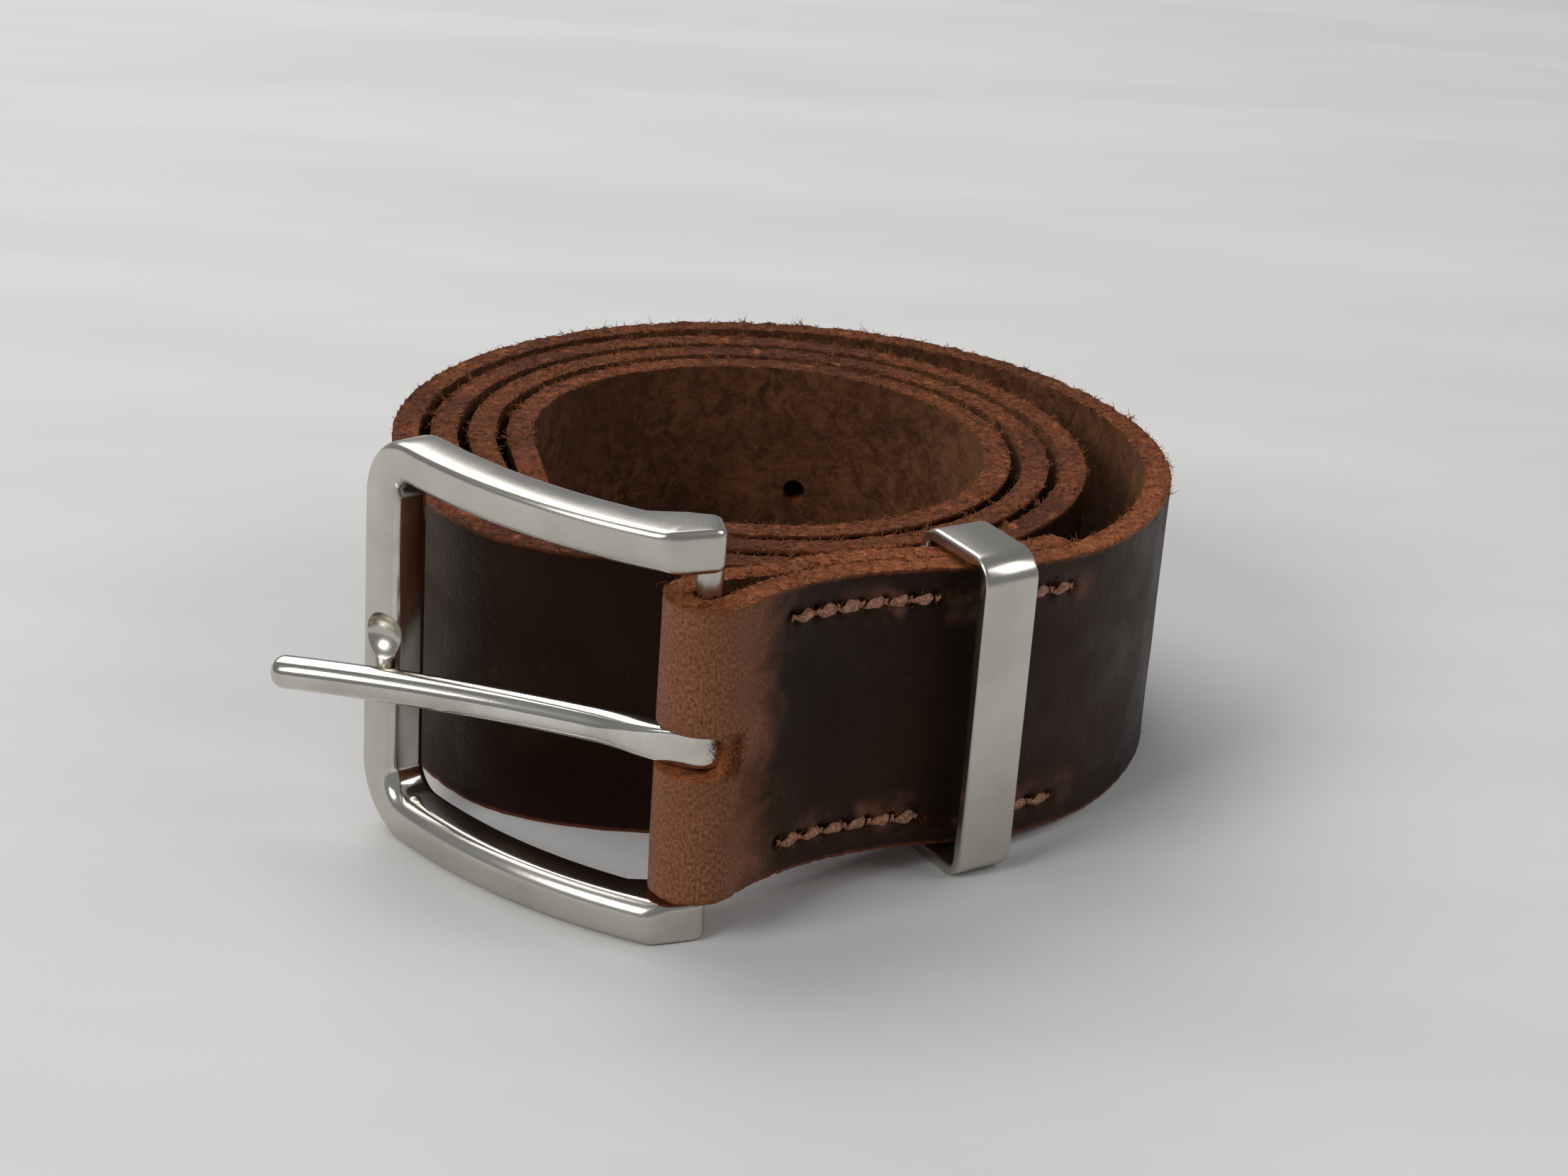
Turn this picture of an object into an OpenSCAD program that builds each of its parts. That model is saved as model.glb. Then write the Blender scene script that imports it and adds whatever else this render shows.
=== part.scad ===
// Leather belt, rolled up and standing on its edge.
// The strap coils outwards from its pointed tip, folds round the buckle bar and is sewn back on
// itself through a metal keeper. The buckle is an open bowed frame, closed by the bar, with a prong
// that loops round the bar and rests on the far side of the frame.

/* [Strap] */
// Width of the strap
strap_w = 40; // [32:1:48]
// Thickness of the leather
strap_t = 3.7; // [3:0.1:4.2]
// Gap between the two sewn layers
layer_gap = 0.15; // [0.1:0.05:0.4]
// Length of leather turned back behind the buckle
turn_back = 62; // [56:1:75]
// Length of the rounded point
tip_len = 24; // [12:1:40]

/* [Coil] */
// Radius of the innermost turn, to the middle of the leather
coil_r = 34.4; // [30:0.2:42]
// Step from one turn to the next
coil_pitch = 5.4; // [5.2:0.1:7]
// Full turns wound inside the outer one
inner_turns = 3; // [1:1:4]
// Extra radius that the loose outer turn gains
outer_swell = 6.8; // [3:0.2:10]
// Bulge where each turn steps over the one below
step_bulge = 2.4; // [0:0.2:4]
// Direction at which the tip lies
tip_dir = 235; // [225:1:245]

/* [Size holes] */
// Diameter of a size hole
hole_d = 3.6; // [3:0.1:5]
// Distance from one hole to the next
hole_pitch = 25; // [20:1:30]
// Number of holes
hole_count = 5; // [3:1:7]
// Distance from the tip to the first hole
hole_start = 94; // [80:1:120]

/* [Buckle] */
// Room between the legs beyond the width of the strap
frame_room = 4.4; // [2:0.2:8]
// Height of a leg and width of the far side
leg_h = 5.8; // [5:0.1:8]
// Thickness of the frame from front to back
frame_t = 6.4; // [5:0.1:8]
// Radius to which the frame is bowed, outside
bow_r = 80; // [70:1:120]
// Distance from the bar to the middle of the far side
reach = 49.5; // [44:0.5:58]
// Radius of a far corner, to the middle of the metal
corner_r = 6.5; // [5:0.1:9]
// Direction in which the far side lies from the bar
frame_dir = 154; // [150:1:158]
// Diameter of the bar
bar_d = 3.3; // [2.8:0.1:4]
// Clearance on the radius between the bar and what turns on it
bar_clear = 0.06; // [0.04:0.01:0.1]
// Clearance between the bar and the leather round it
fold_clear = 0.25; // [0.1:0.05:0.5]

/* [Prong] */
// Diameter of the prong
prong_d = 4.3; // [3.6:0.1:5]
// Overhang of the prong past the far side
prong_over = 12.8; // [4:0.2:15]
// Wall of the prong's loop
loop_wall = 1.8; // [1.5:0.1:2.4]
// Fall of the prong towards its tip
prong_fall = 5.4; // [0:0.1:7]
// Width to spare in the slot on each side of the prong
slot_clear = 0.9; // [0.6:0.1:1.5]

/* [Keeper] */
// Width of the keeper along the strap
keeper_w = 7.6; // [6:0.2:12]
// Thickness of the keeper's metal
keeper_t = 2; // [1.6:0.1:3]
// Height to spare inside the keeper
keeper_spare = 2; // [1.6:0.1:4]
// Depth to spare over three layers of leather
keeper_room = 0.5; // [0.3:0.1:3]
// Direction in which the keeper lies from the middle of the coil
keeper_dir = 302.5; // [298:0.5:308]

/* [Stitching] */
// Diameter of the thread
thread_d = 0.9; // [0.6:0.1:1.2]
// Length of one stitch
stitch_len = 4; // [3:0.2:5]
// Distance from the strap's edge to a row
stitch_inset = 4.4; // [3:0.1:6]
// Lean of a stitch across its row
stitch_lean = 0.45; // [0:0.05:0.8]
// Distance from the fold to the first stitch
stitch_start = 10; // [9:0.5:14]

/* [Hidden] */
$fn = 48;

leather_col = "#3a2219";
steel_col = "#b9b6ae";
thread_col = "#7d4c3a";

// Frame and bar. In the buckle's own axes x runs from the bar to the far side and y points outwards.
bar_r = bar_d / 2;
frame_gap = strap_w + frame_room;
frame_h = frame_gap + 2 * leg_h;
frame_edge = 1.6;
seam = 0.03;
corner_lap = 4;
crown_at = 12.5;
crown_out = 7.4;
leg_first = -7;
knuckle_r = bar_r + 1.6;
knuckle_root = -3;
bar_seat = 1.6;
bow_c = [crown_at, crown_out - bow_r];
bow_mid = bow_r - frame_t / 2;
corner_turn = asin((reach - crown_at) / norm([bow_r, corner_r])) - atan(corner_r / bow_r);
notch_r = 3.4;
notch_depth = 1.5;
notch_tilt = 19;

// Threads are a little thicker where they turn down into their holes
hole_thread_d = 1.5 * thread_d;
near_room = 2.4;
end_room = 3.2;
end_margin = 2.5;

// Fold round the bar
fold_in = bar_r + fold_clear;
fold_mid = fold_in + strap_t / 2;
fold_head = 57;
leg_gap = 1;
strap_lift = leg_h + leg_gap;

// Coil
step_first = 228;
step_last = 272;
bulge_half = 34;
turn_step = 5;
back_step = 2;
swell_power = 1.4;
coil_out = coil_r + inner_turns * coil_pitch;
coil_right = coil_out + outer_swell;
coil_edge = coil_right + strap_t / 2;

// Keeper, measured outwards from the turn that lies behind it
keeper_gap = 0.7;
keeper_back = coil_out - coil_pitch + strap_t / 2 + keeper_gap;
keeper_in = keeper_back + keeper_t;
keeper_depth = 3 * strap_t + layer_gap + keeper_room;
keeper_h = strap_w + keeper_spare + 2 * keeper_t;
keeper_edge = 2.6;
main_at_keeper = keeper_in + keeper_gap + 1.5 * strap_t + layer_gap;

// The bar stands outside the keeper's circle
bar_out = 16.9;
bar_dir = 266.9;
bar_at = (main_at_keeper + bar_out) * compass(bar_dir);

// Prong
prong_r = prong_d / 2;
loop_in = bar_r + bar_clear;
loop_out = loop_in + loop_wall;
prong_z = strap_lift + strap_w / 2;
prong_bend = 230;
prong_root = 2;
dip_at = 22;
dip_out = 1;
rest_clear = 0.1;
far_edge = bow_c + bow_turn([corner_r - leg_h / 2 + frame_edge, bow_r - frame_edge], corner_turn);
bend_c = [dip_at, dip_out + prong_bend];
rest_r = prong_bend + prong_r + frame_edge + rest_clear;
rest_angle = acos((far_edge * far_edge + bend_c * bend_c - rest_r * rest_r) / (2 * norm(far_edge) * norm(bend_c)));
prong_seat = rest_angle - bearing(bend_c) + bearing(far_edge);
prong_end = reach + prong_over - prong_r;
slot_h = prong_d + 2 * slot_clear;
slot_first = 136;
slot_last = 314;
slot_over = 1.8;
slot_reach = fold_in + strap_t + slot_over;

// The whole object is centred on its own box
left_end = bar_at[0] + compass(frame_dir + prong_seat)[0] * (prong_end + prong_r);
front_end = bar_at[1] + turned(bow_c, frame_dir)[1] + bow_r * compass(frame_dir + 90 - leg_first)[1];
back_end = coil_radius(90 - 360 * (inner_turns)) + strap_t / 2;
centre = [-(coil_edge + left_end) / 2, -(back_end + front_end) / 2, 0];

function compass(a) = [cos(a), sin(a)];
function bearing(v) = atan2(v[1], v[0]);
function turned(v, a) = [v[0] * cos(a) - v[1] * sin(a), v[0] * sin(a) + v[1] * cos(a)];
function bow_turn(v, a) = turned(v, -a);
function unit(v) = v / norm(v);
function left_of(v) = [-v[1], v[0]];
function smooth(t) = let (u = min(1, max(0, t))) u * u * (3 - 2 * u);
function unsmooth(y) = 0.5 - sin(asin(1 - 2 * y) / 3);
function bump(t) = abs(t) < 1 ? pow(cos(90 * t), 2) : 0;
function bezier(p, t) = pow(1 - t, 3) * p[0] + 3 * t * pow(1 - t, 2) * p[1]
    + 3 * t * t * (1 - t) * p[2] + pow(t, 3) * p[3];

// Radius of the coil's middle line. The angle falls as the strap winds outwards from the tip, and
// each turn steps out by one pitch where it passes over the tip.
function coil_radius(a) =
    let (
        fall = step_last - a,
        turns = floor(fall / 360),
        into = fall - 360 * turns,
        step = step_last - step_first,
        loose = (180 - 360 * inner_turns - a) / 180
    )
    coil_r + coil_pitch * (turns - 1 + smooth(into / step))
    + step_bulge * bump((into - step) / bulge_half)
    + outer_swell * smooth(pow(max(0, loose), swell_power));

// Middle line of the strap, from the fold round the bar to the tip
fold_away = compass(fold_head);
fold_start = bar_at + fold_mid * compass(fold_head - 90);
keeper_at = main_at_keeper * compass(keeper_dir);
keeper_away = compass(keeper_dir + 90);
coil_start = [coil_right, 0];
neck = [fold_start, fold_start + 17 * fold_away, keeper_at - 13 * keeper_away, keeper_at];
shoulder = [keeper_at, keeper_at + 19 * keeper_away, coil_start - [0, 17], coil_start];
neck_steps = 14;
path = concat(
    [for (i = [0:neck_steps - 1]) bezier(neck, i / neck_steps)],
    [for (i = [0:neck_steps]) bezier(shoulder, i / neck_steps)],
    [for (a = [turn_step - 360 * inner_turns:turn_step:tip_dir]) coil_radius(a) * compass(a)]
);
last = len(path) - 1;
path_s = [for (i = 0, s = 0; i <= last; s = s + norm(path[min(i + 1, last)] - path[i]), i = i + 1) s];
strap_s = path_s[last];
keeper_s = path_s[neck_steps];
keeper_lift = keeper_t + keeper_spare / 2;
climb_s = keeper_s / unsmooth(1 - keeper_lift / strap_lift);
path_x = [for (i = [0:last]) [path_s[i], path[i][0]]];
path_y = [for (i = [0:last]) [path_s[i], path[i][1]]];

// Each row of stitches stops short of the keeper, and the far rows short of the turned-back end
near_count = floor((keeper_s - keeper_w / 2 - near_room - stitch_start) / stitch_len);
end_start = keeper_s + keeper_w / 2 + end_room;
end_count = floor((turn_back - end_margin - end_start) / stitch_len);

function point_at(s) = [lookup(s, path_x), lookup(s, path_y)];
function away_at(s) = s < 0.5 ? fold_away : unit(point_at(s + 0.5) - point_at(s - 0.5));
function side_at(s) = left_of(away_at(s));
function lift_at(s) = strap_lift * (1 - smooth(s / climb_s));
function layer_at(s) = strap_t + layer_gap + (2 * fold_mid - strap_t - layer_gap) * (1 - smooth(s / 14));
function taper_at(s) = let (e = (strap_s - s) / tip_len) e >= 1 ? 1 : max(0.1, sqrt(1 - pow(1 - e, 2)));

// Four corners of the strap's section, round its middle p, with the finished face towards out
function section(p, out, low, half) = [
    for (c = [[1, -1], [1, 1], [-1, 1], [-1, -1]])
        let (q = p + c[0] * strap_t / 2 * out)
        [q[0], q[1], low + strap_w / 2 + c[1] * half]
];

// Sections from the end of the turned-back layer, round the bar and along the strap to its tip
sections = concat(
    [for (s = [turn_back:-back_step:back_step / 2])
        section(point_at(s) + layer_at(s) * side_at(s), side_at(s), lift_at(s), strap_w / 2)],
    [for (a = [fold_head + 90:turn_step:fold_head + 270])
        section(bar_at + fold_mid * compass(a), compass(a), strap_lift, strap_w / 2)],
    [for (i = [1:last])
        section(path[i], -side_at(path_s[i]), lift_at(path_s[i]), strap_w / 2 * taper_at(path_s[i]))]
);

module place() {
    translate(centre)
        children();
}

// Axes of the buckle, with the bar at the origin
module at_bar() {
    place()
        translate(bar_at)
            rotate(frame_dir)
                children();
}

module strap() {
    n = len(sections);
    walls = [for (i = [0:n - 2]) for (k = [0:3]) let (a = 4 * i + k, b = 4 * i + (k + 1) % 4)
        each [[a, b, b + 4], [a, b + 4, a + 4]]];
    start = [[0, 3, 2], [0, 2, 1]];
    end = [for (f = start) [4 * n - 4 + f[0], 4 * n - 4 + f[2], 4 * n - 4 + f[1]]];
    color(leather_col)
        place()
            difference() {
                polyhedron([for (ring = sections) each ring], concat(start, walls, end));
                prong_slot();
                size_holes();
            }
}

// Slot across the fold, with the hollow that the prong's loop presses in the leather
module prong_slot() {
    translate([bar_at[0], bar_at[1], prong_z - slot_h / 2]) {
        rotate(slot_first)
            rotate_extrude(angle = slot_last - slot_first)
                square([slot_reach, slot_h]);
        cylinder(r = loop_out + fold_clear, h = slot_h);
    }
}

module size_holes() {
    for (i = [0:hole_count - 1]) {
        s = strap_s - hole_start - i * hole_pitch;
        p = point_at(s);
        translate([p[0], p[1], lift_at(s) + strap_w / 2])
            rotate([0, 90, bearing(side_at(s))])
                cylinder(d = hole_d, h = coil_pitch - 0.2, center = true);
    }
}

// Rounded section of the frame's bar stock, upright by across
module stock(across, upright) {
    for (x = [-1, 1], y = [-1, 1])
        translate([x * (across / 2 - frame_edge), y * (upright / 2 - frame_edge)])
            circle(frame_edge);
    square([across, upright - 2 * frame_edge], center = true);
    square([across - 2 * frame_edge, upright], center = true);
}

// Bowed leg from the knuckle to the far corner, at the given height
module leg(z) {
    translate([bow_c[0], bow_c[1], z])
        rotate(90 - corner_turn)
            rotate_extrude(angle = corner_turn - leg_first, $fn = 96)
                translate([bow_mid, 0])
                    stock(frame_t, leg_h);
}

// End of a leg, cut on a slant and swelling round the bar
module knuckle() {
    ridge = bow_c + bow_turn([0, bow_r], leg_first);
    root = bow_c + bow_turn([0, bow_r - frame_t], knuckle_root);
    translate([0, 0, seam])
        linear_extrude(leg_h - 2 * seam) {
            circle(knuckle_r);
            polygon([ridge, knuckle_r * compass(165), knuckle_r * compass(285), root, root + [0, frame_t]]);
        }
}

// Quarter turn between a leg and the far side, a hair thinner than both and let into both
module corner() {
    rotate(-corner_lap)
        rotate_extrude(angle = 90 + 2 * corner_lap)
            translate([corner_r, 0])
                stock(leg_h - 2 * seam, frame_t - 2 * seam);
}

module far_side() {
    corner_z = leg_h / 2 + corner_r;
    translate(bow_c)
        rotate(-corner_turn) {
            translate([0, bow_mid, corner_z])
                rotate([-90, 0, 0])
                    corner();
            translate([0, bow_mid, frame_h - corner_z])
                rotate([-90, 0, 0])
                    rotate(-90)
                        corner();
            difference() {
                translate([corner_r, bow_mid, corner_z])
                    linear_extrude(frame_h - 2 * corner_z)
                        stock(leg_h, frame_t);
                translate([corner_r - leg_h / 2, bow_r + notch_r - notch_depth, frame_h / 2])
                    rotate([0, 90, notch_tilt])
                        cylinder(r = notch_r, h = 4 * leg_h, center = true);
            }
        }
}

module buckle_frame() {
    color(steel_col)
        at_bar()
            difference() {
                union() {
                    leg(leg_h / 2);
                    leg(frame_h - leg_h / 2);
                    far_side();
                    knuckle();
                    translate([0, 0, frame_h - leg_h])
                        knuckle();
                }
                translate([0, 0, bar_seat])
                    cylinder(r = bar_r, h = frame_h - 2 * bar_seat);
            }
}

module buckle_bar() {
    color(steel_col)
        at_bar()
            translate([0, 0, bar_seat])
                cylinder(r = bar_r, h = frame_h - 2 * bar_seat);
}

// Prong bar, dipping slightly between the loop and the far side
module prong_bar() {
    rise = asin((dip_at - prong_root) / prong_bend);
    first = 90 - rise;
    sweep = rise + asin((prong_end - dip_at) / prong_bend);
    rotate([0, prong_fall, 0])
        translate([bend_c[0], bend_c[1], 0])
            rotate(180 + first) {
                rotate_extrude(angle = sweep, $fn = 96)
                    translate([prong_bend, 0])
                        circle(prong_r);
                rotate(sweep)
                    translate([prong_bend, 0, 0])
                        sphere(prong_r - seam);
            }
}

module prong() {
    color(steel_col)
        at_bar()
            translate([0, 0, prong_z])
                rotate(prong_seat)
                    difference() {
                        union() {
                            prong_bar();
                            cylinder(r = loop_out, h = prong_d, center = true);
                        }
                        cylinder(r = loop_in, h = 3 * prong_d, center = true);
                    }
}

// Rounded outline of the keeper, depth by height
module keeper_outline(depth, height, r) {
    for (x = [r, depth - r], y = [r, height - r])
        translate([x, y])
            circle(r);
    translate([r, 0])
        square([depth - 2 * r, height]);
    translate([0, r])
        square([depth, height - 2 * r]);
}

module keeper() {
    color(steel_col)
        place()
            rotate(keeper_dir)
                translate([keeper_back, keeper_w / 2, 0])
                    rotate([90, 0, 0])
                        linear_extrude(keeper_w)
                            difference() {
                                keeper_outline(keeper_depth + 2 * keeper_t, keeper_h, keeper_edge);
                                translate([keeper_t, keeper_t])
                                    keeper_outline(
                                        keeper_depth, keeper_h - 2 * keeper_t, keeper_edge - keeper_t
                                    );
                            }
}

// Round bar from one point to another
module thread(from, to, d) {
    run = to - from;
    translate(from)
        rotate([0, acos(run[2] / norm(run)), bearing(run)])
            cylinder(d = d, h = norm(run), $fn = 16);
}

// One thread of a sewn row: the stitches on one surface and its half of every hole
module row(first, count, up, back) {
    face = back ? layer_at(strap_s) + strap_t / 2 : -strap_t / 2;
    out = (back ? 1 : -1) * hole_thread_d / 2;
    mid = (strap_t + layer_gap) / 2 + out / 4;
    rise = up ? strap_w - stitch_inset : stitch_inset;
    lean = [0, 0, stitch_lean];
    at = [for (i = [0:count]) first + i * stitch_len];
    surface = [for (s = at) hole_point(s, face, rise)];
    color(thread_col)
        place() {
            for (i = [0:count - 1])
                thread(surface[i] - lean, surface[i + 1] + lean, thread_d);
            for (s = at)
                thread(hole_point(s, face + out, rise), hole_point(s, mid, rise), hole_thread_d);
        }
}

function hole_point(s, off, rise) =
    let (p = point_at(s) + off * side_at(s))
    [p[0], p[1], lift_at(s) + rise];

strap();
buckle_frame();
buckle_bar();
prong();
keeper();
row(stitch_start, near_count, true, false);  // face_thread_upper
row(stitch_start, near_count, false, false);  // face_thread_lower
row(end_start, end_count, true, false);  // face_thread_upper_end
row(end_start, end_count, false, false);  // face_thread_lower_end
row(stitch_start, near_count, true, true);  // back_thread_upper
row(stitch_start, near_count, false, true);  // back_thread_lower
row(end_start, end_count, true, true);  // back_thread_upper_end
row(end_start, end_count, false, true);  // back_thread_lower_end
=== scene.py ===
# Leather belt, rolled up on its edge, with an open steel buckle.
# The strap, its threads and its loose fibres are made flat in millimetres, then rolled along one path.
import math
import random

import bmesh
import bpy
import numpy as np
from mathutils import Matrix, Vector, noise


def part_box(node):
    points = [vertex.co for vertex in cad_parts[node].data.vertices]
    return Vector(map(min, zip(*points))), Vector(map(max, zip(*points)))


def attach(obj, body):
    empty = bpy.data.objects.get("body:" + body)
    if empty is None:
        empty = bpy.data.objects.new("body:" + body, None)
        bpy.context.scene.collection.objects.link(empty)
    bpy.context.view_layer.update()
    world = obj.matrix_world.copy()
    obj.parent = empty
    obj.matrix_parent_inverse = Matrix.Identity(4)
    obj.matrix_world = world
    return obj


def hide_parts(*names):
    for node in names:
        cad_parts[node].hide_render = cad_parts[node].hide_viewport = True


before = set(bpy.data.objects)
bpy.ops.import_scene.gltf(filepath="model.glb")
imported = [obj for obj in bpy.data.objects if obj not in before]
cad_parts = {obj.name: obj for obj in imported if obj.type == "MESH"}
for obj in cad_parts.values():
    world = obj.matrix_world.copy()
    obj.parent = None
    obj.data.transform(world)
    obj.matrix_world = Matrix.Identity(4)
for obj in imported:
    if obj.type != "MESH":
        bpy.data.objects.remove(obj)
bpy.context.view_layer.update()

mm = 0.001
random.seed(7)

# Sizes in mm, angles in degrees, with the coil's middle as the centre.
# The strap's path is worked out from these four, so they come first.
strap = {"width": 40, "thickness": 3.7, "layerGap": 0.15, "turnBack": 62, "tipLength": 24,
         "edgeRadius": 0.35, "edgeRoughness": 0.34, "edgeBand": 0.45, "unevenness": 0.1}
coil = {"radius": 34.4, "pitch": 5.4, "turns": 3, "swell": 6.8, "swellPower": 1.4, "bulge": 2.4,
        "bulgeHalf": 34, "stepFirst": 228, "stepLast": 272, "tipDirection": 235,
        "neckPull": (17, 13), "shoulderPull": (19, 17)}
fold = {"inner": 1.9, "head": 57, "lift": 6.8, "climb": 77.7, "closeIn": 14, "slotFrom": -13.9,
        "slotTo": -0.5, "slotHeight": 6.1, "barDirection": 266.9, "barOut": 16.9}
keeper = {"width": 8.2, "metal": 2, "depth": 15.75, "height": 46, "corner": 3.9, "innerCorner": 0.8,
          "direction": 302.5, "back": 47.75, "middle": 56.15, "edge": 0.85}


def smooth(t):
    t = np.clip(t, 0, 1)
    return t * t * (3 - 2 * t)


def compass(a):
    return np.array([np.cos(np.radians(a)), np.sin(np.radians(a))])


# The strap's path
def coilRadius(a):
    fall = coil["stepLast"] - a
    turns = np.floor(fall / 360)
    into = fall - 360 * turns
    step = coil["stepLast"] - coil["stepFirst"]
    bulge = (into - step) / coil["bulgeHalf"]
    bump = np.where(np.abs(bulge) < 1, np.cos(np.pi / 2 * bulge) ** 2, 0)
    loose = np.maximum(0, (180 - 360 * coil["turns"] - a) / 180)         # the outer half turn stands off
    return (coil["radius"] + coil["pitch"] * (turns - 1 + smooth(into / step)) + coil["bulge"] * bump
            + coil["swell"] * smooth(loose ** coil["swellPower"]))


def bezier(a, b, c, d, count):
    t = np.linspace(0, 1, count)[:, None]
    return (1 - t) ** 3 * a + 3 * t * (1 - t) ** 2 * b + 3 * t * t * (1 - t) * c + t ** 3 * d


foldMid = fold["inner"] + strap["thickness"] / 2
foldLength = math.pi * foldMid
barAt = (keeper["middle"] + fold["barOut"]) * compass(fold["barDirection"])
barLow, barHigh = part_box("buckle_bar")
offset = (np.array(barLow[:2]) + np.array(barHigh[:2])) / 2 / mm - barAt          # the coil's middle
foldAway = compass(fold["head"])
foldStart = barAt + foldMid * compass(fold["head"] - 90)
keeperAt = keeper["middle"] * compass(keeper["direction"])
keeperAway = compass(keeper["direction"] + 90)
coilStart = np.array([coil["radius"] + coil["turns"] * coil["pitch"] + coil["swell"], 0])
leave, arrive = coil["neckPull"]
neck = bezier(foldStart, foldStart + leave * foldAway, keeperAt - arrive * keeperAway, keeperAt, 60)
leave, arrive = coil["shoulderPull"]
shoulder = bezier(keeperAt, keeperAt + leave * keeperAway, coilStart - [0, arrive], coilStart, 60)
windings = np.arange(1 - 360 * coil["turns"], coil["tipDirection"] + 1)
path = np.vstack([neck[:-1], shoulder, coilRadius(windings)[:, None] * compass(windings).T])
pathAt = np.concatenate([[0], np.cumsum(np.linalg.norm(np.diff(path, axis=0), axis=1))])
strapEnd = pathAt[-1]
keeperPlace = pathAt[len(neck) - 1]


def middle(s):
    return np.stack([np.interp(s, pathAt, path[:, 0]), np.interp(s, pathAt, path[:, 1])], 1)


def side(s):
    reach = 0.6                                             # how far each way the direction is taken over
    ahead = middle(np.minimum(s + reach, strapEnd)) - middle(np.maximum(s - reach, 0))
    ahead /= np.linalg.norm(ahead, axis=1)[:, None]
    return np.stack([-ahead[:, 1], ahead[:, 0]], 1)


# How far apart the two sewn layers are: closed, and open round the bar
def layer(s):
    closed = strap["thickness"] + strap["layerGap"]
    return closed + (2 * foldMid - closed) * (1 - smooth(s / fold["closeIn"]))


# Flat place to rolled place: s along the strap from the fold, w across it, n out of its finished face
def roll(flat):
    s, w, n = flat[:, 0], flat[:, 1], flat[:, 2]
    out = np.zeros((len(s), 3))
    along = np.where(s >= 0, s, np.maximum(0, -s - foldLength))
    m, toSide = middle(along), side(along)
    front = m - toSide * n[:, None]
    back = m + toSide * (layer(along) + n)[:, None]
    angle = np.radians(fold["head"] - 90) + s / foldMid
    bend = barAt + (foldMid + n)[:, None] * np.stack([np.cos(angle), np.sin(angle)], 1)
    onFold = (s < 0) & (s > -foldLength)
    out[:, :2] = np.where((s >= 0)[:, None], front, np.where(onFold[:, None], bend, back))
    fromTip = np.clip((strapEnd - s) / strap["tipLength"], 0, 1)
    taper = np.maximum(0.1, np.sqrt(1 - (1 - fromTip) ** 2))          # round tip
    lift = fold["lift"] * (1 - smooth(along / fold["climb"]))
    out[:, 2] = np.maximum(0.02, lift + strap["width"] / 2 + w * taper)          # nothing below the floor
    out[:, :2] += offset
    return out * mm


# Small helpers
def only(obj):
    bpy.ops.object.select_all(action="DESELECT")
    obj.select_set(True)
    bpy.context.view_layer.objects.active = obj


def applyModifier(obj, kind, **settings):
    only(obj)
    modifier = obj.modifiers.new(kind.lower(), kind)
    for key, value in settings.items():
        setattr(modifier, key, value)
    bpy.ops.object.modifier_apply(modifier=modifier.name)


def bevelCorners(obj, width, segments, angle, **settings):
    applyModifier(obj, "BEVEL", width=width, segments=segments, limit_method="ANGLE",
                  angle_limit=math.radians(angle), **settings)


def cut(obj, cutter):
    applyModifier(obj, "BOOLEAN", object=cutter, operation="DIFFERENCE", solver="EXACT")
    bpy.data.objects.remove(cutter)


def places(obj):
    flat = np.zeros(len(obj.data.vertices) * 3)
    obj.data.vertices.foreach_get("co", flat)
    return flat.reshape(-1, 3)


def setPlaces(obj, where):
    obj.data.vertices.foreach_set("co", np.ascontiguousarray(where, dtype=np.float32).ravel())
    obj.data.update()


def block(name, low, high):
    bpy.ops.object.select_all(action="DESELECT")
    bpy.ops.mesh.primitive_cube_add(size=1)
    obj = bpy.context.object
    obj.name = name
    size = np.array(high) - np.array(low)
    setPlaces(obj, places(obj) * size + (np.array(high) + np.array(low)) / 2)
    return obj


closeBy = 0.01


def alongY(a, b):
    return abs(a.x - b.x) < closeBy and abs(a.z - b.z) < closeBy


def bevelEdges(obj, test, radius, segments):
    only(obj)
    bpy.ops.object.mode_set(mode="EDIT")
    bpy.ops.mesh.select_mode(type="EDGE")
    bpy.ops.mesh.select_all(action="DESELECT")
    mesh = bmesh.from_edit_mesh(obj.data)
    for edge in mesh.edges:
        edge.select_set(test(edge.verts[0].co, edge.verts[1].co))
    bmesh.update_edit_mesh(obj.data)
    bpy.ops.mesh.bevel(offset=radius, segments=segments, profile=0.5)
    bpy.ops.object.mode_set(mode="OBJECT")


def bisectAt(obj, axis, values):
    only(obj)
    bpy.ops.object.mode_set(mode="EDIT")
    for value in values:
        bpy.ops.mesh.select_all(action="SELECT")
        at, normal = [0, 0, 0], [0, 0, 0]
        at[axis], normal[axis] = value, 1
        bpy.ops.mesh.bisect(plane_co=at, plane_no=normal)
    bpy.ops.object.mode_set(mode="OBJECT")


def finishPiece(obj, body, materials, nodes, smoothAngle):
    which = [face.material_index for face in obj.data.polygons]          # clearing the materials loses them
    obj.data.materials.clear()
    for material in materials:
        obj.data.materials.append(material)
    obj.data.polygons.foreach_set("material_index", which)
    only(obj)
    bpy.ops.object.shade_smooth_by_angle(angle=math.radians(smoothAngle))
    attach(obj, body)
    if nodes:
        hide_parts(*nodes)


# Materials
def shade(hexCode):
    channels = [int(hexCode[i:i + 2], 16) / 255 for i in (1, 3, 5)]
    return tuple(c / 12.92 if c <= 0.04045 else ((c + 0.055) / 1.055) ** 2.4 for c in channels) + (1,)


# Adds a node: a value that is a socket gets a link, and any other value is a setting
def add(tree, kind, settings=None):
    made = tree.nodes.new(kind)
    for key, value in (settings or {}).items():
        if isinstance(value, bpy.types.NodeSocket):
            tree.links.new(value, made.inputs[key])
        elif isinstance(key, str) and hasattr(made, key):
            setattr(made, key, value)
        else:
            made.inputs[key].default_value = value
    return made


def newMaterial(name):
    material = bpy.data.materials.new(name)
    material.use_nodes = True
    material.node_tree.nodes.clear()
    return material, material.node_tree


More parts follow.
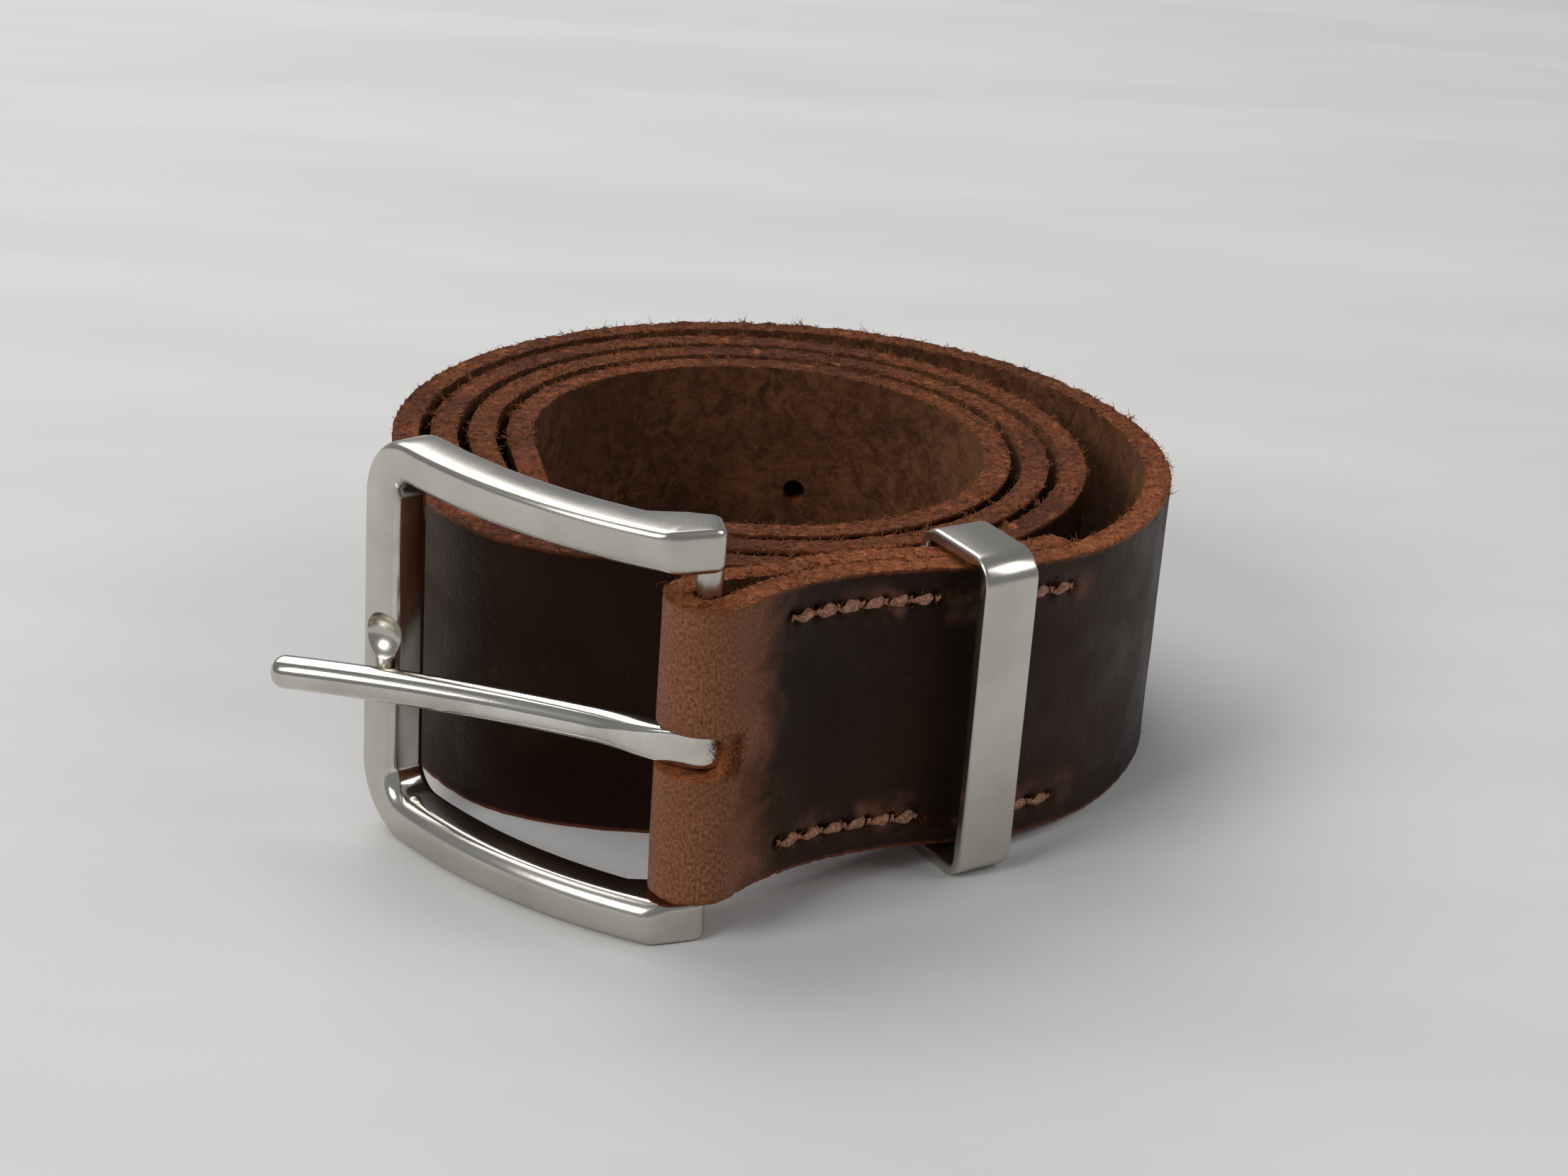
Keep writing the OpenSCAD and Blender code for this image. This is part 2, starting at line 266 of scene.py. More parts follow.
def finishMaterial(material, looks):
    shader = add(material.node_tree, "ShaderNodeBsdfPrincipled", looks)
    add(material.node_tree, "ShaderNodeOutputMaterial", {"Surface": shader.outputs[0]})
    return material


eased = {"interpolation_type": "SMOOTHSTEP"}


# Lays one colour over another as a pattern's value goes from the first limit to the last
def laid(tree, under, over, pattern, first, last, amount=1.0):
    where = add(tree, "ShaderNodeMapRange", {**eased, 0: pattern, 1: first, 2: last, 4: amount}).outputs[0]
    return add(tree, "ShaderNodeMix", {"data_type": "RGBA", 0: where, 6: under, 7: over}).outputs[2]


# Oiled pull-up leather, tanned and waxed: near black where flat, reddish brown where it is bent hard
def pullUpLeather():
    material, tree = newMaterial("oiledPullUpLeather")
    uv = add(tree, "ShaderNodeUVMap", {"uv_map": "cut"}).outputs[0]
    flat = add(tree, "ShaderNodeSeparateXYZ", {0: uv}).outputs
    grain = add(tree, "ShaderNodeMapping", {"Scale": (1, 0.42, 1), "Vector": uv}).outputs[0]
    # fibres of the grain 0.25 mm apart and longer across the strap, pores 0.7 mm apart,
    # and blotches 11 and 40 mm across
    fibres = add(tree, "ShaderNodeTexNoise",
                 {"Vector": grain, "Scale": 4300, "Detail": 4, "Roughness": 0.6}).outputs[0]
    pores = add(tree, "ShaderNodeTexNoise",
                {"Vector": uv, "Scale": 1500, "Detail": 5, "Roughness": 0.6}).outputs[0]
    blotches = add(tree, "ShaderNodeTexNoise",
                   {"Vector": uv, "Scale": 90, "Detail": 5, "Roughness": 0.62, "Distortion": 0.4}).outputs[0]
    wide = add(tree, "ShaderNodeTexNoise", {"Vector": uv, "Scale": 24, "Detail": 3}).outputs[0]
    # the pulled-up colour fades out over 10 mm past the fold, with a ragged limit
    wobble = add(tree, "ShaderNodeMapRange",
                 {**eased, 0: blotches, 1: 0.25, 2: 0.75, 3: -0.0028, 4: 0.0028}).outputs[0]
    shifted = add(tree, "ShaderNodeMath", {"operation": "ADD", 0: flat[0], 1: wobble}).outputs[0]
    dark = laid(tree, shade("#150c08"), shade("#28180f"), wide, 0.35, 0.7)
    red = laid(tree, shade("#573421"), shade("#946147"), fibres, 0.3, 0.7)
    red = laid(tree, red, shade("#5f3a28"), blotches, 0.3, 0.75, 0.55)
    base = laid(tree, dark, red, shifted, 0.0095, 0.0005)
    # light scuffs, 2.4 mm across, where the surface was rubbed
    scuffs = add(tree, "ShaderNodeTexNoise",
                 {"Vector": uv, "Scale": 420, "Detail": 6, "Roughness": 0.75, "Distortion": 1.2}).outputs[0]
    base = laid(tree, base, shade("#6e4a38"), scuffs, 0.6, 0.82, 0.5)
    # beside the threads, 15 mm from the middle, the leather is rubbed lighter in patches
    across = add(tree, "ShaderNodeMath", {"operation": "ABSOLUTE", 0: flat[1]}).outputs[0]
    band = add(tree, "ShaderNodeMath", {"operation": "SUBTRACT", 0: across, 1: 0.015}).outputs[0]
    band = add(tree, "ShaderNodeMath", {"operation": "ABSOLUTE", 0: band}).outputs[0]
    near = add(tree, "ShaderNodeMapRange", {**eased, 0: band, 1: 0.0042, 2: 0.0008}).outputs[0]
    sewnPart = add(tree, "ShaderNodeMapRange", {**eased, 0: flat[0], 1: 0.064, 2: 0.058}).outputs[0]
    patch = add(tree, "ShaderNodeMapRange", {**eased, 0: blotches, 1: 0.48, 2: 0.66, 4: 0.6}).outputs[0]
    rubbed = add(tree, "ShaderNodeMath", {"operation": "MULTIPLY", 0: near, 1: sewnPart}).outputs[0]
    rubbed = add(tree, "ShaderNodeMath", {"operation": "MULTIPLY", 0: rubbed, 1: patch}).outputs[0]
    base = add(tree, "ShaderNodeMix",
               {"data_type": "RGBA", 0: rubbed, 6: base, 7: shade("#7c5140")}).outputs[2]
    # the pits round the stitches are painted near black inside, a painted shade, and the last of the face is
    # worn at its edge
    pit = add(tree, "ShaderNodeAttribute", {"attribute_name": "pit"}).outputs["Fac"]
    base = laid(tree, base, shade("#0e0907"), pit, 0.15, 0.7, 0.92)
    base = laid(tree, base, shade("#6d3c25"), across, 0.0193, 0.0199, 0.7)
    rough = add(tree, "ShaderNodeMapRange",
                {**eased, 0: blotches, 1: 0.3, 2: 0.7, 3: 0.45, 4: 0.62}).outputs[0]
    # creases of the hide, 2 to 4 mm apart, that wander
    wander = add(tree, "ShaderNodeTexNoise", {"Vector": uv, "Scale": 260, "Detail": 3}).outputs[1]
    bent = add(tree, "ShaderNodeMix",
               {"data_type": "RGBA", "blend_type": "ADD", 0: 0.004, 6: uv, 7: wander}).outputs[2]
    crease = add(tree, "ShaderNodeTexVoronoi",
                 {"feature": "DISTANCE_TO_EDGE", "Scale": 330, "Vector": bent}).outputs[0]
    crease = add(tree, "ShaderNodeMapRange", {**eased, 0: crease, 1: 0.0, 2: 0.09}).outputs[0]
    high = add(tree, "ShaderNodeMath", {"operation": "ADD", 0: fibres, 1: pores}).outputs[0]
    fine = add(tree, "ShaderNodeBump", {"Strength": 0.32, "Distance": 0.00012, "Height": high}).outputs[0]
    fine = add(tree, "ShaderNodeBump",
               {"Strength": 0.16, "Distance": 0.00025, "Height": crease, "Normal": fine}).outputs[0]
    bump = add(tree, "ShaderNodeBump",
               {"Strength": 0.4, "Distance": 0.0006, "Height": blotches, "Normal": fine}).outputs[0]
    return finishMaterial(material, {"Base Color": base, "Roughness": rough, "Specular IOR Level": 0.4,
                                     "Specular Tint": shade("#a8795c"), "Normal": bump})


# Flesh side, split and buffed to a short nap that catches the light, in tufts of 3 mm and patches of 17 mm
def napLeather():
    material, tree = newMaterial("buffedFleshLeather")
    place = add(tree, "ShaderNodeTexCoord").outputs["Object"]
    nap = add(tree, "ShaderNodeTexNoise",
              {"Vector": place, "Scale": 1300, "Detail": 5, "Roughness": 0.75}).outputs[0]
    tufts = add(tree, "ShaderNodeTexNoise",
                {"Vector": place, "Scale": 330, "Detail": 5, "Roughness": 0.7, "Distortion": 0.8}).outputs[0]
    patches = add(tree, "ShaderNodeTexNoise", {"Vector": place, "Scale": 60, "Detail": 4}).outputs[0]
    base = laid(tree, shade("#3a2113"), shade("#6b4429"), tufts, 0.34, 0.68)
    base = laid(tree, base, shade("#472a17"), patches, 0.38, 0.66, 0.55)
    base = laid(tree, base, shade("#8a6143"), nap, 0.5, 0.74, 0.4)
    high = add(tree, "ShaderNodeMath", {"operation": "ADD", 0: nap, 1: tufts}).outputs[0]
    bump = add(tree, "ShaderNodeBump", {"Strength": 0.75, "Distance": 0.0004, "Height": high}).outputs[0]
    return finishMaterial(material, {"Base Color": base, "Roughness": 0.9, "Specular IOR Level": 0.15,
                                     "Sheen Weight": 0.25, "Sheen Roughness": 0.5,
                                     "Sheen Tint": shade("#a87850"), "Normal": bump})


# Raw cut edge: packed fibres 1 mm across, undyed and rubbed to a warm orange brown
def rawEdge(name, low, high, lit):
    material, tree = newMaterial(name)
    place = add(tree, "ShaderNodeTexCoord").outputs["Object"]
    fibres = add(tree, "ShaderNodeTexNoise",
                 {"Vector": place, "Scale": 950, "Detail": 5, "Roughness": 0.75, "Distortion": 1}).outputs[0]
    lumps = add(tree, "ShaderNodeTexNoise",
                {"Vector": place, "Scale": 380, "Detail": 4, "Roughness": 0.65}).outputs[0]
    patches = add(tree, "ShaderNodeTexNoise", {"Vector": place, "Scale": 45, "Detail": 3}).outputs[0]
    base = laid(tree, shade(low), shade(high), fibres, 0.34, 0.64)
    base = laid(tree, base, shade(low), patches, 0.4, 0.64, 0.6)
    base = laid(tree, base, shade(lit), lumps, 0.56, 0.72, 0.6)
    # painted light: the cut is painted lighter round the fold and darker along the strap
    uv = add(tree, "ShaderNodeUVMap", {"uv_map": "cut"}).outputs[0]
    along = add(tree, "ShaderNodeSeparateXYZ", {0: uv}).outputs[0]
    paintedFoldLight = laid(tree, shade(high), shade(lit), fibres, 0.34, 0.6)
    base = laid(tree, base, paintedFoldLight, along, 0.12, 0.07, 0.42)
    relief = add(tree, "ShaderNodeMath", {"operation": "ADD", 0: fibres, 1: lumps}).outputs[0]
    bump = add(tree, "ShaderNodeBump", {"Strength": 0.9, "Distance": 0.0006, "Height": relief}).outputs[0]
    return finishMaterial(material, {"Base Color": base, "Roughness": 0.85, "Specular IOR Level": 0.2,
                                     "Normal": bump})


# Waxed linen thread, two plies twisted together, with lint 0.4 mm across on its wax
def waxedThread():
    material, tree = newMaterial("waxedLinenThread")
    place = add(tree, "ShaderNodeTexCoord").outputs["Object"]
    lint = add(tree, "ShaderNodeTexNoise",
               {"Vector": place, "Scale": 2400, "Detail": 4, "Roughness": 0.7}).outputs[0]
    base = laid(tree, shade("#6c4130"), shade("#bd8869"), lint, 0.35, 0.68)
    bump = add(tree, "ShaderNodeBump", {"Strength": 0.7, "Distance": 0.0002, "Height": lint}).outputs[0]
    return finishMaterial(material, {"Base Color": base, "Roughness": 0.7, "Normal": bump})


# Stainless steel, cast and tumbled to satin with a 0.6 mm ripple; its edges come out polished
def steel(name, roughLow, roughHigh, colour, relief):
    material, tree = newMaterial(name)
    place = add(tree, "ShaderNodeTexCoord").outputs["Object"]
    tumble = add(tree, "ShaderNodeTexNoise",
                 {"Vector": place, "Scale": 1700, "Detail": 3, "Roughness": 0.6}).outputs[0]
    wear = add(tree, "ShaderNodeTexNoise",
               {"Vector": place, "Scale": 70, "Detail": 5, "Roughness": 0.6}).outputs[0]
    tint = laid(tree, shade(colour), shade("#bdb8ae"), wear, 0.35, 0.7)
    rough = add(tree, "ShaderNodeMapRange",
                {**eased, 0: wear, 1: 0.3, 2: 0.72, 3: roughLow, 4: roughHigh}).outputs[0]
    bump = add(tree, "ShaderNodeBump",
               {"Strength": relief, "Distance": 0.00005, "Height": tumble}).outputs[0]
    return finishMaterial(material, {"Base Color": tint, "Metallic": 1.0, "Roughness": rough,
                                     "Normal": bump})


# Washed white cotton cloth, plain weave drawn 0.7 mm apart to show, with long soft creases
def whiteCloth():
    material, tree = newMaterial("whiteCotton")
    place = add(tree, "ShaderNodeTexCoord").outputs["Object"]
    longer = add(tree, "ShaderNodeMapping", {"Scale": (0.35, 1.5, 1), "Vector": place}).outputs[0]
    creases = add(tree, "ShaderNodeTexNoise",
                  {"Vector": longer, "Scale": 14, "Detail": 4, "Roughness": 0.5}).outputs[0]
    weave = add(tree, "ShaderNodeTexNoise", {"Vector": place, "Scale": 1400, "Detail": 2}).outputs[0]
    # painted shade: the cloth is a little darker down in its creases
    base = laid(tree, shade("#cbcac8"), shade("#d2d1cf"), creases, 0.3, 0.7)
    fine = add(tree, "ShaderNodeBump", {"Strength": 0.15, "Distance": 0.0002, "Height": weave}).outputs[0]
    bump = add(tree, "ShaderNodeBump",
               {"Strength": 0.12, "Distance": 0.006, "Height": creases, "Normal": fine}).outputs[0]
    return finishMaterial(material, {"Base Color": base, "Roughness": 0.95, "Specular IOR Level": 0.1,
                                     "Normal": bump})


faceLeather, fleshLeather = pullUpLeather(), napLeather()
cutEdge = rawEdge("rawLeatherEdge", "#3a1c0e", "#8a4a27", "#bd7040")
looseFibre = rawEdge("looseLeatherFibre", "#5c3018", "#90532e", "#bb7a4a")
thread = waxedThread()
satin = steel("satinStainlessSteel", 0.19, 0.3, "#c9c4ba", 0.12)
polished = steel("polishedStainlessSteel", 0.1, 0.17, "#dad7d0", 0.08)
print("materials made")


# Strap
sizeHoles = {"diameter": 3.6, "pitch": 25, "count": 5, "fromTip": 94}
stitches = {"length": 4, "inset": 4.4, "rise": 1.17, "start": 10, "nearCount": 6, "endStart": 48.9,
            "endCount": 2, "thick": 1.12, "proud": 0.06, "sag": 0.85, "wave": 0.12, "pit": 0.95,
            "pitWidth": 0.95, "strandWays": (0.9, 2.2)}


def sewnPlaces(first, count):
    return [first + i * stitches["length"] for i in range(count + 1)]


rowAcross = strap["width"] / 2 - stitches["inset"]
sewn = sewnPlaces(stitches["start"], stitches["nearCount"])
sewn += sewnPlaces(stitches["endStart"], stitches["endCount"])


# Stations along the strap: closer where it is sewn and folded
def strapStations():
    turned = np.arange(-foldLength - strap["turnBack"], -foldLength, 0.62)
    bend = np.linspace(-foldLength, 0, 27)
    near = np.arange(0.5, strap["turnBack"] + 2, 0.52)
    rest = np.linspace(strap["turnBack"] + 2.6, strapEnd - strap["tipLength"], 800)
    tip = strapEnd - strap["tipLength"] * (1 - np.sin(np.linspace(0.04, 1, 26) * math.pi / 2))
    return np.concatenate([turned, bend, near, rest, tip])


# Rows across the strap, from its middle: closer beside the stitches and at the edge
def strapRows():
    half = np.array([1.1, 3.3, 5.6, 8, 10.4, 12.5, 13.8, 14.5, 15, 15.4, 15.8, 16.2, 16.8, 17.8,
                     18.9, 19.6, 20])
    return np.concatenate([-half[::-1], half])


def makeStrap():
    stations, rows = strapStations(), strapRows()
    bpy.ops.object.select_all(action="DESELECT")
    bpy.ops.mesh.primitive_grid_add(x_subdivisions=len(stations) - 1, y_subdivisions=len(rows) - 1, size=1)
    obj = bpy.context.object
    obj.name = "leatherStrap"
    grid = places(obj)
    column = np.rint((grid[:, 0] + 0.5) * (len(stations) - 1)).astype(int)
    row = np.rint((grid[:, 1] + 0.5) * (len(rows) - 1)).astype(int)
    setPlaces(obj, np.stack([stations[column], rows[row], np.zeros(len(grid))], 1))
    applyModifier(obj, "SOLIDIFY", thickness=strap["thickness"], offset=0)
    bisectAt(obj, 2, [-0.85, 0.05, 0.9])                   # layers, so that the cut edge can be rough
    # slot for the prong, with round ends
    deep = 3 * strap["thickness"]
    slotEnd = fold["slotHeight"] / 2
    bpy.ops.mesh.primitive_cylinder_add(vertices=40, radius=slotEnd, depth=deep)
    slot = bpy.context.object
    shape = places(slot)
    shape[:, 0] += np.where(shape[:, 0] > closeBy, fold["slotTo"] - slotEnd, fold["slotFrom"] + slotEnd)
    setPlaces(slot, shape)
    cut(obj, slot)
    for i in range(sizeHoles["count"]):
        bpy.ops.mesh.primitive_cylinder_add(vertices=32, radius=sizeHoles["diameter"] / 2, depth=deep)
        hole = bpy.context.object
        setPlaces(hole, places(hole) + [strapEnd - sizeHoles["fromTip"] - i * sizeHoles["pitch"], 0, 0])
        cut(obj, hole)
    bevelCorners(obj, strap["edgeRadius"], 2, 40)
    # the cut pattern's own map, in metres, and which face is which
    uv = obj.data.uv_layers[0] if obj.data.uv_layers else obj.data.uv_layers.new()
    uv.name = "cut"
    flat = places(obj)
    corner = np.zeros(len(obj.data.loops), int)
    obj.data.loops.foreach_get("vertex_index", corner)
    uv.data.foreach_set("uv", (flat[corner][:, :2] * mm).astype(np.float32).ravel())
    facing = 0.6
    for face in obj.data.polygons:
        face.material_index = 0 if face.normal.z > facing else 1 if face.normal.z < -facing else 2
    # the stitches pull the face in round each hole, and the rest is a little uneven
    onFace = flat[:, 2] > 0
    pit = np.zeros(len(flat))
    for s in sewn:
        for place in (s, -foldLength - s):
            for across in (rowAcross, -rowAcross):
                far = np.hypot(flat[:, 0] - place, flat[:, 1] - across)
                pit = np.maximum(pit, np.exp(-(far / stitches["pitWidth"]) ** 2))
    pit *= onFace
    flat[:, 2] -= stitches["pit"] * pit
    uneven = np.array([noise.noise(Vector(p) * 0.11) for p in flat])
    rough = np.array([noise.fractal(Vector((p[0], p[1], p[2] * 3)) * 0.9, 1.0, 2.0, 3) for p in flat])
    flat[:, 2] += strap["unevenness"] * uneven
    atEdge = np.abs(flat[:, 1]) > strap["width"] / 2 - strap["edgeBand"]
    downTurned = np.where(flat[:, 1] < 0, 0.35, 1)         # the lower edge is pressed smoother by its weight
    flat[:, 1] += np.sign(flat[:, 1]) * atEdge * strap["edgeRoughness"] * downTurned * (rough - 0.5)
    flat[:, 2] += atEdge * 0.4 * strap["edgeRoughness"] * rough
    # the pits' depth is kept as an attribute, to paint shade into them
    attribute = obj.data.attributes.new("pit", "FLOAT", "POINT")
    attribute.data.foreach_set("value", pit.astype(np.float32))
    setPlaces(obj, roll(flat))
    finishPiece(obj, "belt", [faceLeather, fleshLeather, cutEdge], ["strap"], 50)
    return obj


strapPiece = makeStrap()
print("strap rolled, faces:", len(strapPiece.data.polygons))


# Stitching
def stitchShape():
    bpy.ops.object.select_all(action="DESELECT")
    bpy.ops.mesh.primitive_uv_sphere_add(segments=14, ring_count=12, radius=1)
    obj = bpy.context.object
    obj.data.transform(Matrix.Rotation(math.pi / 2, 4, "Y"))
    p = places(obj)
    turn = np.arctan2(p[:, 2], p[:, 1])
    ply = 1 + 0.2 * np.cos(2 * turn + 3.4 * p[:, 0])        # two plies twist along the stitch
    full = np.clip(1 - p[:, 0] ** 6, 0, 1)
    p[:, 1] *= ply * full
    p[:, 2] *= ply * full
    faces = [tuple(f.vertices) for f in obj.data.polygons]
    bpy.data.objects.remove(obj)
    return p, faces


stitch, stitchFaces = stitchShape()


def joinCopies(name, copies, faces):
    count = len(copies[0])
    mesh = bpy.data.meshes.new(name)
    allFaces = [tuple(i + count * k for i in f) for k in range(len(copies)) for f in faces]
    mesh.from_pydata(np.vstack(copies).tolist(), [], allFaces)
    obj = bpy.data.objects.new(name, mesh)
    bpy.context.scene.collection.objects.link(obj)
    return obj


def turnedBy(angle, x, y):
    return x * math.cos(angle) - y * math.sin(angle), x * math.sin(angle) + y * math.cos(angle)


def makeRow(name, first, count, up, back, nodes):
    copies = []
    across = rowAcross * (1 if up else -1)
    onFace = strap["thickness"] / 2
    long = stitches["length"] / 2 - 0.1
    for i in range(count):
        thick = stitches["thick"] / 2 * random.uniform(0.85, 1.25)
        p = stitch * [long, thick * 1.25, thick]
        p[:, 1] += stitches["wave"] * np.sin(3.1 * p[:, 0] + i)
        lean = math.atan2(stitches["rise"], stitches["length"]) + random.uniform(-0.14, 0.14)
        x, y = turnedBy(lean, p[:, 0], p[:, 1])
        sag = stitches["sag"] * (p[:, 0] / long) ** 4         # both ends dive into their holes
        s = first + (i + 0.5) * stitches["length"]
        s = -foldLength - s if back else s
        copies.append(roll(np.stack([x + s, y + across, p[:, 2] + onFace + stitches["proud"] - sag], 1)))
    for i in range(count + 1):                             # strands stand out where the needle went through
        for way in stitches["strandWays"]:
            p = stitch * [random.uniform(0.5, 0.8), 0.2, 0.2]
            x, y = turnedBy(way + random.uniform(-0.3, 0.3), p[:, 0], p[:, 1])
            s = first + i * stitches["length"]
            s = (-foldLength - s if back else s) + random.uniform(-0.3, 0.3)
            copies.append(roll(np.stack([x + s, y + across, p[:, 2] + onFace - 0.1], 1)))
    obj = joinCopies(name, copies, stitchFaces)
    finishPiece(obj, "belt", [thread], nodes, 180)


for sideName, back in (("face", False), ("back", True)):
    for rowName, up in (("upper", True), ("lower", False)):
        base = sideName + "_thread_" + rowName
        words = sideName + "Stitches" + rowName.capitalize()
        makeRow(words, stitches["start"], stitches["nearCount"], up, back, [base])
        makeRow(words + "End", stitches["endStart"], stitches["endCount"], up, back, [base + "_end"])
print("stitching sewn")


# Loose fibres
fuzz = {"perMm": 9.0, "long": 1.4, "thick": 0.08, "tufts": 110, "torn": 150, "perStitch": 7,
        "upShare": 0.72, "longShare": 0.06, "longer": 1.7, "lowerShort": 0.55, "keeperClear": 3}


def fibreShape():
    bpy.ops.object.select_all(action="DESELECT")
    bpy.ops.mesh.primitive_cone_add(vertices=3, radius1=1, radius2=0.25, depth=1, end_fill_type="NGON",
                                    location=(0, 0, 0.5))
    obj = bpy.context.object
    bpy.ops.object.transform_apply(location=True, rotation=True, scale=True)
    bisectAt(obj, 2, [0.35, 0.7])
    p = places(obj)
    faces = [tuple(f.vertices) for f in obj.data.polygons]
    bpy.data.objects.remove(obj)
    return p, faces


fibre, fibreFaces = fibreShape()


def oneFibre(root, towards, long, thick, curl):
    towards = Vector(towards).normalized()
    turn = towards.to_track_quat("Z", "Y").to_matrix()
    p = fibre * [thick, thick, long]
    p[:, 0] += curl * long * fibre[:, 2] ** 2
    return (np.array(turn) @ p.T).T + root


def makeFibres():
    copies = []
    half, edgeAt = strap["thickness"] / 2, strap["width"] / 2
    count = int((strapEnd + foldLength + strap["turnBack"]) * fuzz["perMm"])
    for _ in range(count):
        s = random.uniform(-foldLength - strap["turnBack"], strapEnd - strap["tipLength"])
        if abs((s if s > 0 else -s - foldLength) - keeperPlace) < keeper["width"] / 2 + fuzz["keeperClear"]:
            continue                                       # the keeper has worn them off
        up = 1 if random.random() < fuzz["upShare"] else -1
        n = half * random.choice((random.uniform(-1, 1), random.choice((-0.97, 0.97))))
        long = fuzz["long"] * random.uniform(0.25, 0.75)
        long *= fuzz["longer"] if random.random() < fuzz["longShare"] else 1
        if up < 0:
            long *= fuzz["lowerShort"]
        most = 0.5 if up > 0 else 0.15
        lean = (random.gauss(0, 1.3), up * random.uniform(0.05, most), random.gauss(0, 0.9))
        thick = fuzz["thick"] * random.uniform(0.6, 1.4)
        root = np.array([s, up * (edgeAt - 0.1), n * 0.93])
        copies.append(oneFibre(root, lean, long, thick, random.uniform(-0.8, 0.8)))
    for _ in range(fuzz["tufts"]):
        s = random.uniform(strap["turnBack"], strapEnd - strap["tipLength"])
        n = random.choice((-0.9, 0.9)) * half
        for _ in range(random.randint(4, 8)):
            root = np.array([s + random.gauss(0, 0.25), edgeAt - 0.1, n + random.gauss(0, 0.15)])
            lean = (random.gauss(0, 0.8), random.uniform(0.1, 0.8), n * 0.4 + random.gauss(0, 0.4))
            long = random.uniform(0.7, 1.5)
            copies.append(oneFibre(root, lean, long, fuzz["thick"] * 1.1, random.uniform(-1, 1)))
    # torn leather at the slot's closed end, and lint round the threads
    for _ in range(fuzz["torn"]):
        root = np.array([fold["slotTo"] + random.uniform(-0.7, 1.2), random.uniform(-2.6, 2.6), half - 0.05])
        lean = (random.gauss(0.0, 0.8), random.gauss(0, 1.0), random.uniform(0.1, 0.5))
        long = random.uniform(0.6, 1.7)
        copies.append(oneFibre(root, lean, long, fuzz["thick"] * 1.2, random.uniform(-1, 1)))
    for s in sewn:
        for across in (rowAcross, -rowAcross):
            for _ in range(fuzz["perStitch"]):
                root = np.array([s + random.gauss(0, 0.7), across + random.gauss(0, 0.5), half - 0.05])
                lean = (random.gauss(0, 1), random.gauss(0, 1), random.uniform(0.15, 0.6))
                long = random.uniform(0.4, 1.1)
                copies.append(oneFibre(root, lean, long, fuzz["thick"], random.uniform(-1, 1)))
    obj = joinCopies("looseFibres", [roll(c) for c in copies], fibreFaces)
    finishPiece(obj, "belt", [looseFibre], [], 180)
    return obj


fibres = makeFibres()
print("fibres raised:", len(fibres.data.polygons), "faces")


# Buckle frame, made flat and bent to the bow.
# A leg's end is drawn by the places of its front, middle and back edges.
buckle = {"direction": 154, "bow": 80, "crown": (12.5, 7.4), "thick": 6.4, "leg": 5.8, "gap": 44.4,
          "straightFrom": 31.84, "far": 41.24, "end": -10.2, "knee": -8, "neck": -4.5,
          "endShape": ((-10.2, 0), (-16.4, -4.7), (-13.9, -9.5)),
          "kneeShape": ((-8, 0), (-9.6, -4.4), (-9.4, -8.6)), "outerCorner": 9.4, "innerCorner": 3.6,
          "edge": 1.15, "innerEdge": 2.3, "notchRadius": 3.7, "notchDepth": 2.4, "notchStretch": 1.15}


def inBuckle(uv, z):
    turned = compass(buckle["direction"])
    out = np.zeros((len(uv), 3))
    out[:, 0] = uv[:, 0] * turned[0] - uv[:, 1] * turned[1] + barAt[0] + offset[0]
    out[:, 1] = uv[:, 0] * turned[1] + uv[:, 1] * turned[0] + barAt[1] + offset[1]
    out[:, 2] = z
    return out * mm


def bow(flat):
    straight = math.degrees(buckle["straightFrom"] / buckle["bow"])
    angle = np.minimum(np.degrees(flat[:, 0] / buckle["bow"]), straight)
    beyond = np.maximum(0, flat[:, 0] - buckle["straightFrom"])
    r = buckle["bow"] + flat[:, 1]
    sin, cos = np.sin(np.radians(angle)), np.cos(np.radians(angle))
    centre = (buckle["crown"][0], buckle["crown"][1] - buckle["bow"])
    uv = np.stack([centre[0] + r * sin + beyond * cos, centre[1] + r * cos - beyond * sin], 1)
    return inBuckle(uv, flat[:, 2])


